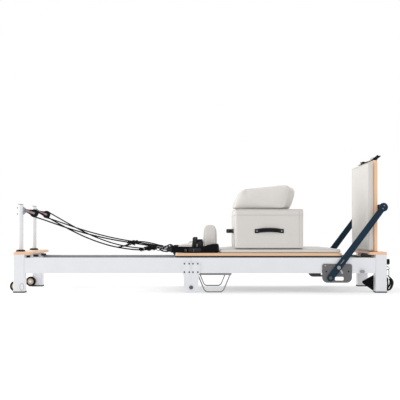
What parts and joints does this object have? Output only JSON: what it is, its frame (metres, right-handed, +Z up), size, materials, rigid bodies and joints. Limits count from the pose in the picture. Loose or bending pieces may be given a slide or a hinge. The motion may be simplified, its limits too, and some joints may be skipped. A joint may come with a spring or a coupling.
{
  "type": "pilates reformer",
  "caption": "Folding exercise bench with a sprung sliding padded carriage, rope posts with pulleys, a swinging footbar, an upright padded jump board and a sitting box.",
  "frame": {"origin": "on the floor, in the middle of the plan of the whole machine", "axes": "+X towards the foot end with the footbar and jump board, +Y across to the far side, +Z up"},
  "size_m": [2.48, 0.718, 0.8763],
  "materials": {
    "white_frame": "satin powder coat",
    "rubber": "matt moulded rubber",
    "plywood": "clear satin lacquer, layered edges",
    "track_aluminium": "extruded, anodised",
    "steel_hardware": "bright zinc",
    "black_steel": "black powder coat",
    "grey_plate": "fine textured grey coat",
    "navy_paint": "satin navy coat",
    "bar_grip": "foam grip",
    "black_plastic": "moulded nylon",
    "upholstery": "warm light grey leatherette",
    "webbing": "woven nylon",
    "rope": "braided polyester"
  },
  "bodies": {
    "foot_frame": {"foot_rails": "white_frame", "foot_legs": "white_frame", "foot_leg_pads": "rubber", "foot_cross_beam": "white_frame", "foot_platform": "plywood", "foot_tracks": "track_aluminium", "foot_hinge_plates": "white_frame", "pivot_bolts": "steel_hardware", "foot_screws": "black_steel", "spring_bar": "black_steel", "springs": "steel_hardware", "footbar_plates": "grey_plate", "stop_blocks": "rubber", "snap_hook": "steel_hardware", "spare_loop": "webbing"},
    "end_knob": {"end_knob": "black_plastic"},
    "head_frame": {"head_rails": "white_frame", "head_legs": "white_frame", "head_leg_pads": "rubber", "head_cross_beam": "white_frame", "head_platform": "plywood", "head_tracks": "track_aluminium", "head_hinge_plates": "white_frame", "head_screws": "black_steel", "head_bumpers": "rubber", "rope_posts": "white_frame", "post_collars": "black_plastic", "pulley_brackets": "steel_hardware", "pulley_blocks": "black_plastic", "wheel_brackets": "white_frame", "front_rope": "rope", "rear_rope": "rope"},
    "front_sheave": {"front_sheave": "black_plastic"},
    "rear_sheave": {"rear_sheave": "black_plastic"},
    "front_wheel": {"front_transport_wheel": "black_plastic"},
    "rear_wheel": {"rear_transport_wheel": "black_plastic"},
    "rope_ends": {"rope_rings": "steel_hardware", "hand_loops": "webbing"},
    "carriage": {"carriage_board": "plywood", "carriage_frame": "black_steel", "carriage_pad": "upholstery"},
    "headrest": {"headrest_board": "plywood", "headrest_pad": "upholstery"},
    "front_rest": {"front_shoulder_rest": "upholstery"},
    "rear_rest": {"rear_shoulder_rest": "upholstery"},
    "head_rollers": {"head_roller_axle": "black_plastic"},
    "foot_rollers": {"foot_roller_axle": "black_plastic"},
    "sitting_box": {"sitting_box": "upholstery", "box_handles": "webbing"},
    "cushion": {"wedge_cushion": "upholstery"},
    "jump_board": {"jump_board": "plywood", "jump_pad": "upholstery", "board_strap": "webbing"},
    "footbar": {"footbar_arms": "navy_paint", "footbar_bar": "bar_grip"},
    "front_pin": {"front_index_pin": "steel_hardware"},
    "rear_pin": {"rear_index_pin": "steel_hardware"},
    "stop_pin": {"stop_pin": "steel_hardware"},
    "front_stand": {"front_stand": "steel_hardware"},
    "rear_stand": {"rear_stand": "steel_hardware"}
  },
  "joints": [
    {"name": "fold", "type": "hinge", "parent": "foot_frame", "child": "head_frame", "pos_m": [-0.057, 0, 0.035], "axis": [0, -1, 0], "range_deg": [0, 175], "deforming": ["hand_loops"]},
    {"name": "carriage_slide", "type": "slide", "parent": "foot_frame", "child": "carriage", "axis": [1, 0, 0], "range_m": [-0.84, 0], "stiffness_N_per_m": 150, "springref_m": 0.15, "deforming": ["springs", "front_rope", "rear_rope", "hand_loops"]},
    {"name": "rope_run", "type": "slide", "parent": "head_frame", "child": "rope_ends", "axis": [1, 0, 0], "range_m": [-0.84, 0], "deforming": ["front_rope", "rear_rope"]},
    {"name": "headrest_tilt", "type": "hinge", "parent": "carriage", "child": "headrest", "pos_m": [0.014, 0, 0.2583], "axis": [0, 1, 0], "range_deg": [0, 25]},
    {"name": "front_rest_lift", "type": "slide", "parent": "carriage", "child": "front_rest", "axis": [0, 0, 1], "range_m": [0, 0.1]},
    {"name": "rear_rest_lift", "type": "slide", "parent": "carriage", "child": "rear_rest", "axis": [0, 0, 1], "range_m": [0, 0.1]},
    {"name": "head_rollers_turn", "type": "hinge", "parent": "carriage", "child": "head_rollers", "pos_m": [-0.1, 0, 0.1933], "axis": [0, 1, 0], "continuous": true},
    {"name": "foot_rollers_turn", "type": "hinge", "parent": "carriage", "child": "foot_rollers", "pos_m": [0.857, 0, 0.1933], "axis": [0, 1, 0], "continuous": true},
    {"name": "box_lift", "type": "slide", "parent": "carriage", "child": "sitting_box", "axis": [0, 0, 1], "range_m": [0, 0.25]},
    {"name": "cushion_lift", "type": "slide", "parent": "sitting_box", "child": "cushion", "axis": [0, 0, 1], "range_m": [0, 0.2]},
    {"name": "jump_board_lift", "type": "slide", "parent": "foot_frame", "child": "jump_board", "axis": [0, 0, 1], "range_m": [0, 0.12]},
    {"name": "footbar_swing", "type": "hinge", "parent": "foot_frame", "child": "footbar", "pos_m": [0.836, 0, 0.096], "axis": [0, 1, 0], "range_deg": [0, 30]},
    {"name": "front_pin_pull", "type": "slide", "parent": "footbar", "child": "front_pin", "axis": [0, -1, 0], "range_m": [0, 0.008], "stiffness_N_per_m": 900, "springref_m": -0.004},
    {"name": "rear_pin_pull", "type": "slide", "parent": "footbar", "child": "rear_pin", "axis": [0, 1, 0], "range_m": [0, 0.008], "stiffness_N_per_m": 900, "springref_m": -0.004},
    {"name": "stop_pin_pull", "type": "slide", "parent": "foot_frame", "child": "stop_pin", "axis": [0, -1, 0], "range_m": [0, 0.01], "stiffness_N_per_m": 900, "springref_m": -0.004},
    {"name": "front_stand_fold", "type": "hinge", "parent": "foot_frame", "child": "front_stand", "pos_m": [0.09, -0.3, 0.118], "axis": [1, 0, 0], "range_deg": [0, 90]},
    {"name": "rear_stand_fold", "type": "hinge", "parent": "foot_frame", "child": "rear_stand", "pos_m": [0.09, 0.3, 0.118], "axis": [-1, 0, 0], "range_deg": [0, 90]},
    {"name": "end_knob_turn", "type": "hinge", "parent": "foot_frame", "child": "end_knob", "pos_m": [1.212, -0.291, 0.198], "axis": [1, 0, 0], "continuous": true},
    {"name": "front_sheave_turn", "type": "hinge", "parent": "head_frame", "child": "front_sheave", "pos_m": [-1.088, -0.211, 0.513], "axis": [0, 1, 0], "continuous": true},
    {"name": "rear_sheave_turn", "type": "hinge", "parent": "head_frame", "child": "rear_sheave", "pos_m": [-1.088, 0.211, 0.513], "axis": [0, 1, 0], "continuous": true},
    {"name": "front_wheel_turn", "type": "hinge", "parent": "head_frame", "child": "front_wheel", "pos_m": [-1.205, -0.239, 0.037], "axis": [0, 1, 0], "continuous": true},
    {"name": "rear_wheel_turn", "type": "hinge", "parent": "head_frame", "child": "rear_wheel", "pos_m": [-1.205, 0.239, 0.037], "axis": [0, 1, 0], "continuous": true}
  ],
  "couplings": [
    {"joint": "rope_run", "follows": "carriage_slide", "ratio": 1},
    {"joint": "head_rollers_turn", "follows": "carriage_slide", "rad_per_m": 45.455},
    {"joint": "foot_rollers_turn", "follows": "carriage_slide", "rad_per_m": 45.455}
  ]
}
